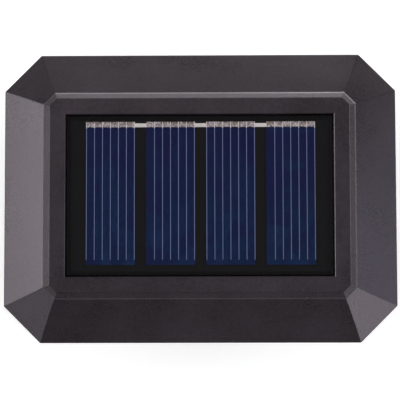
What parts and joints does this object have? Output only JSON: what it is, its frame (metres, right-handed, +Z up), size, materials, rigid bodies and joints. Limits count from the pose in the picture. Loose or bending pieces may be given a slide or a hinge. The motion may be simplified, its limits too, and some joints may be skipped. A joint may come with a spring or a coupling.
{
  "type": "solar post light",
  "caption": "Solar lantern cap for a rectangular fence post: cut-cornered sloping roof with a framed solar panel, fluted lens in a cage, and a sleeve base with a hinged battery door.",
  "frame": {"origin": "centre of the sleeve's lower rim, where the light stands when it is off its post", "axes": "+Z up through the roof, +X along the long side of the post, -Y the side with the door hinge"},
  "size_m": [0.11, 0.081, 0.0771],
  "materials": {
    "roof_plastic": "satin charcoal moulding with a fine grain",
    "clear_window": "clear polished sheet",
    "panel_black": "black coated board",
    "solar_silicon": "blue multicrystalline wafer",
    "silver_paste": "fired silver lines",
    "tinned_ribbon": "tinned copper ribbon with rough solder",
    "foam": "closed-cell foam",
    "seal_rubber": "soft black rubber",
    "frosted_lens": "frosted outside, fluted inside",
    "white_plastic": "smooth white moulding",
    "circuit_green": "green solder mask",
    "lamp_resin": "clear epoxy dome",
    "chip_black": "black epoxy",
    "ferrite": "dark ferrite with copper winding",
    "switch_black": "black nylon",
    "knob_white": "white nylon",
    "lead_red": "red insulation",
    "lead_black": "black insulation",
    "battery_sleeve": "plain shrink sleeve over a metal can",
    "plated_steel": "nickel-plated steel"
  },
  "bodies": {
    "light": {"roof_shell": "roof_plastic", "lens_cage": "roof_plastic", "base_sleeve": "roof_plastic", "panel_window": "clear_window", "panel_board": "panel_black", "solar_cell_1": "solar_silicon", "solar_cell_2": "solar_silicon", "solar_cell_3": "solar_silicon", "solar_cell_4": "solar_silicon", "cell_fingers": "silver_paste", "tab_ribbon": "tinned_ribbon", "panel_gasket": "foam", "lens_seal_upper": "seal_rubber", "lens_seal_lower": "seal_rubber", "lens_band": "frosted_lens", "ceiling_plate": "white_plastic", "floor_plate": "white_plastic", "core_housing": "white_plastic", "circuit_board": "circuit_green", "led_front_left": "lamp_resin", "led_front_right": "lamp_resin", "led_back_left": "lamp_resin", "led_back_right": "lamp_resin", "driver_chip": "chip_black", "choke_coil": "ferrite", "switch_body": "switch_black", "panel_lead_red": "lead_red", "panel_lead_black": "lead_black", "switch_leads": "lead_black", "battery_cell": "battery_sleeve", "battery_spring": "plated_steel", "contact_plate_negative": "plated_steel", "contact_plate_positive": "plated_steel", "switch_terminals": "plated_steel", "door_hinge_pin": "plated_steel", "board_screws": "plated_steel", "roof_screws": "plated_steel"},
    "door": {"battery_door": "roof_plastic", "door_seal": "seal_rubber"},
    "knob": {"switch_knob": "knob_white"}
  },
  "joints": [
    {"name": "door_hinge", "type": "hinge", "parent": "light", "child": "door", "pos_m": [0, -0.01255, 0.032], "axis": [-1, 0, 0], "range_deg": [0, 118]},
    {"name": "switch_slide", "type": "slide", "parent": "light", "child": "knob", "axis": [1, 0, 0], "range_m": [0, 0.002]}
  ]
}
